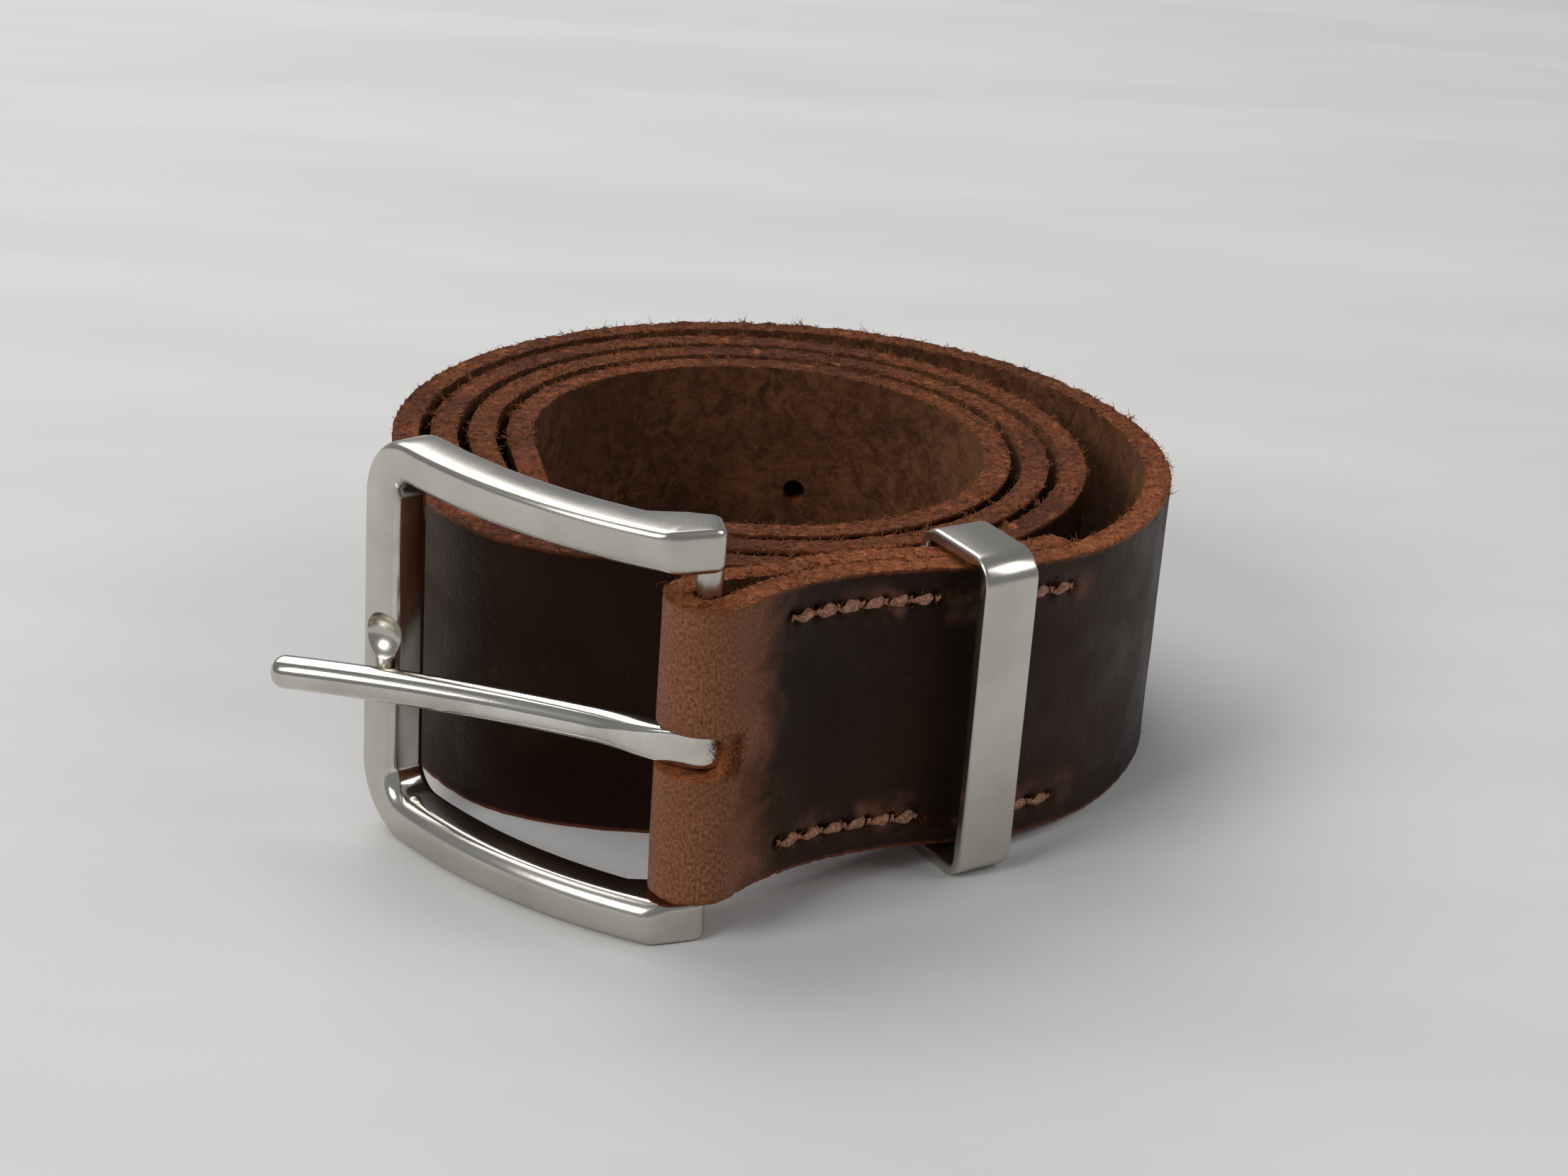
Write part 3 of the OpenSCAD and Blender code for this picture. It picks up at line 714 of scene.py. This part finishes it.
def makeFrame():
    high = buckle["gap"] + 2 * buckle["leg"]
    obj = block("buckleFrame", (buckle["end"], -buckle["thick"], 0), (buckle["far"], 0, high))
    bevelEdges(obj, lambda a, b: alongY(a, b) and a.x > buckle["far"] - closeBy, buckle["outerCorner"], 12)
    windowEnd = buckle["far"] - buckle["leg"]
    window = block("window", (buckle["end"] - 9, -12, buckle["leg"]), (windowEnd, 5, high - buckle["leg"]))
    bevelEdges(window, lambda a, b: alongY(a, b) and a.x > windowEnd - closeBy, buckle["innerCorner"], 10)
    cut(obj, window)
    bisectAt(obj, 0, [buckle["neck"], buckle["knee"]])
    bisectAt(obj, 1, [-buckle["thick"] / 2])
    # the legs deepen to hold the bar, and end on a slant that meets the front in an upright ridge
    flat = places(obj)
    moved = flat.copy()
    for x, shape in ((buckle["end"], buckle["endShape"]), (buckle["knee"], buckle["kneeShape"])):
        for depth, (newX, newY) in zip((0, -buckle["thick"] / 2, -buckle["thick"]), shape):
            hit = (np.abs(flat[:, 0] - x) < closeBy) & (np.abs(flat[:, 1] - depth) < closeBy)
            moved[hit, 0], moved[hit, 1] = newX, newY
    setPlaces(obj, moved)

    def atWindow(v):
        between = buckle["leg"] - closeBy < v.z < high - buckle["leg"] + closeBy
        return between and v.y > -closeBy and v.x < windowEnd + closeBy

    bevelEdges(obj, lambda a, b: atWindow(a) and atWindow(b), buckle["innerEdge"], 6)
    bevelCorners(obj, buckle["edge"], 4, 28, material=1)
    # rest for the prong's tip
    bpy.ops.object.select_all(action="DESELECT")
    bpy.ops.mesh.primitive_uv_sphere_add(segments=48, ring_count=32, radius=buckle["notchRadius"])
    scoop = bpy.context.object
    place = (windowEnd + 0.4, buckle["notchRadius"] - buckle["notchDepth"], high / 2)
    setPlaces(scoop, places(scoop) * [buckle["notchStretch"], 1, 1] + place)
    cut(obj, scoop)
    beside = 0.3
    for face in obj.data.polygons:                         # the sides round the window come out polished
        between = buckle["leg"] - beside < face.center.z < high - buckle["leg"] + beside
        if between and face.center.x < windowEnd + beside and abs(face.normal.y) < 0.8:
            face.material_index = 1
    bisectAt(obj, 0, np.arange(-15, buckle["far"], 1.4))
    setPlaces(obj, bow(places(obj)))
    finishPiece(obj, "buckle", [satin, polished], ["buckle_frame"], 32)


makeFrame()
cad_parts["buckle_bar"].data.materials.clear()
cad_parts["buckle_bar"].data.materials.append(satin)
print("buckle frame bent")


# Prong: the wire is flattened and curled round the bar, and round beyond it
prong = {"radius": 2.25, "bend": 230, "dipAt": 22, "dipOut": 1, "fall": 5.4, "seat": -1.096, "end": 60.15,
         "height": 26.8, "loopInner": 1.71, "loopWall": 1.8, "loopHalf": 2.4, "loopFrom": 318, "loopTo": 90,
         "squareness": 5.5}


def sweep(name, rings):
    bpy.ops.object.select_all(action="DESELECT")
    bpy.ops.mesh.primitive_circle_add(vertices=len(rings[0]), radius=1, fill_type="NGON",
                                      enter_editmode=True)
    obj = bpy.context.object
    obj.name = name
    mesh = bmesh.from_edit_mesh(obj.data)
    verts = sorted(mesh.verts, key=lambda v: math.atan2(v.co.y, v.co.x) % (2 * math.pi))
    for v, p in zip(verts, rings[0]):
        v.co = p
    for last, ring in zip(rings, rings[1:]):
        bpy.ops.mesh.extrude_region_move()
        mesh = bmesh.from_edit_mesh(obj.data)
        ends = [v for v in mesh.verts if v.select]
        was = np.array([v.co for v in ends])
        for p, q in zip(last, ring):
            ends[int(np.argmin(np.linalg.norm(was - p, axis=1)))].co = q
        bmesh.update_edit_mesh(obj.data)
    bpy.ops.mesh.select_all(action="SELECT")
    bpy.ops.mesh.normals_make_consistent(inside=False)
    bpy.ops.object.mode_set(mode="OBJECT")
    return obj


def blend(first, last, t):
    return first + (last - first) * float(smooth(t))


def makeProng():
    radius, halfWall, roundness = prong["radius"], prong["loopWall"] / 2, 2
    curl = prong["loopInner"] + halfWall
    # each point: how far along, how far out, half its depth, half its height, how square it is
    spine = []
    for angle in np.linspace(prong["loopFrom"], prong["loopTo"], 26):
        a, b = curl * math.cos(math.radians(angle)), curl * math.sin(math.radians(angle))
        spine.append((a, b, halfWall, prong["loopHalf"], prong["squareness"]))
    for a in np.concatenate([np.linspace(0.8, 16, 20), np.linspace(18, prong["end"], 24)]):
        line = prong["dipOut"] + prong["bend"] - math.sqrt(prong["bend"] ** 2 - (a - prong["dipAt"]) ** 2)
        spine.append((a, blend(curl, line, a / 10), blend(halfWall, radius, (a - 0.5) / 8.5),
                      blend(prong["loopHalf"], radius, a / 9),
                      blend(prong["squareness"], roundness, (a + 1) / 15)))
    last = spine[-1]
    for t in np.linspace(0.12, 1, 11):                     # blunt round tip
        size = radius * max(0.02, (1 - t ** 2.6)) ** 0.5
        spine.append((last[0] + radius * t * 0.92, last[1] + 0.06 * t, size, size, roundness))
    centre = np.array([(s[0], s[1]) for s in spine])
    ahead = np.gradient(centre, axis=0)
    ahead /= np.linalg.norm(ahead, axis=1)[:, None]
    rings = []
    fall, seat = math.radians(prong["fall"]), compass(prong["seat"])
    around = np.linspace(0, 2 * math.pi, 64, endpoint=False)
    for (a, b, deep, tall, square), way in zip(spine, ahead):
        c, s = np.cos(around), np.sin(around)
        squared = (np.abs(c) ** square + np.abs(s) ** square) ** (-1 / square)
        c, s = c * squared, s * squared
        out = np.array([-way[1], way[0]])
        local = np.array([a, b]) + (deep * c)[:, None] * out
        along = local[:, 0] * math.cos(fall) + tall * s * math.sin(fall)
        up = tall * s * math.cos(fall) - local[:, 0] * math.sin(fall)
        uv = np.stack([along * seat[0] - local[:, 1] * seat[1], along * seat[1] + local[:, 1] * seat[0]], 1)
        rings.append(inBuckle(uv, prong["height"] + up))
    obj = sweep("prongBar", rings)
    finishPiece(obj, "prong", [polished], ["prong"], 75)


makeProng()
print("prong curled")


# Keeper
def makeKeeper():
    half = keeper["width"] / 2
    obj = block("steelKeeper", (0, -half, 0), (keeper["depth"], half, keeper["height"]))
    bevelEdges(obj, alongY, keeper["corner"], 8)
    metal, through = keeper["metal"], 9
    window = block("keeperWindow", (metal, -through, metal),
                   (keeper["depth"] - metal, through, keeper["height"] - metal))
    bevelEdges(window, alongY, keeper["innerCorner"], 5)
    cut(obj, window)
    bevelCorners(obj, keeper["edge"], 3, 50, material=1)
    where = Matrix.Translation((*(offset * mm), 0))
    where = where @ Matrix.Rotation(math.radians(keeper["direction"]), 4, "Z")
    where = where @ Matrix.Translation((keeper["back"] * mm, 0, 0)) @ Matrix.Scale(mm, 4)
    obj.data.transform(where)
    finishPiece(obj, "keeper", [satin, polished], ["keeper"], 32)


makeKeeper()
print("keeper made")

# Floor, light and camera
bpy.ops.object.select_all(action="DESELECT")
bpy.ops.mesh.primitive_plane_add(size=9)
floor = bpy.context.object
floor.name = "clothFloor"
floor.data.materials.append(whiteCloth())

# each light's place and width in metres and its power in watts
lights = {"window": ((-0.55, 0.75, 1.15), 1.3, 15.5),
          "room": ((-0.8, -0.75, 0.75), 0.5, 8.0),
          "side": ((1.0, -0.2, 0.8), 0.6, 3.0)}
for name, (place, size, power) in lights.items():
    lamp = bpy.data.lights.new(name, "AREA")
    lamp.size, lamp.energy = size, power
    obj = bpy.data.objects.new(name, lamp)
    bpy.context.scene.collection.objects.link(obj)
    obj.location = place
    obj.rotation_euler = (Vector((0, 0, 0.02)) - Vector(place)).to_track_quat("-Z", "Y").to_euler()
world = bpy.data.worlds.new("room")
bpy.context.scene.world = world
world.use_nodes = True
world.node_tree.nodes["Background"].inputs[0].default_value = shade("#e8ebf0")
world.node_tree.nodes["Background"].inputs[1].default_value = 0.3

cameraSet = {"lens": 68.35, "pitch": 23, "lean": 4.03, "place": (5.0, -402.7, 188)}
lens = bpy.data.cameras.new("camera")
lens.lens, lens.sensor_width = cameraSet["lens"], 36
camera = bpy.data.objects.new("camera", lens)
bpy.context.scene.collection.objects.link(camera)
pitch, lean = math.radians(cameraSet["pitch"]), math.radians(cameraSet["lean"])
ahead = Vector((0, math.cos(pitch), -math.sin(pitch)))
level, upright = Vector((1, 0, 0)), Vector((0, math.sin(pitch), math.cos(pitch)))
right = level * math.cos(lean) + upright * math.sin(lean)
up = upright * math.cos(lean) - level * math.sin(lean)
turn = Matrix((right, up, -ahead)).transposed()
spot = Vector(np.array(cameraSet["place"]) + [*offset, 0]) * mm
camera.matrix_world = Matrix.Translation(spot) @ turn.to_4x4()
bpy.context.scene.camera = camera
bpy.context.scene.view_settings.view_transform = "Standard"
print("floor, light and camera placed")
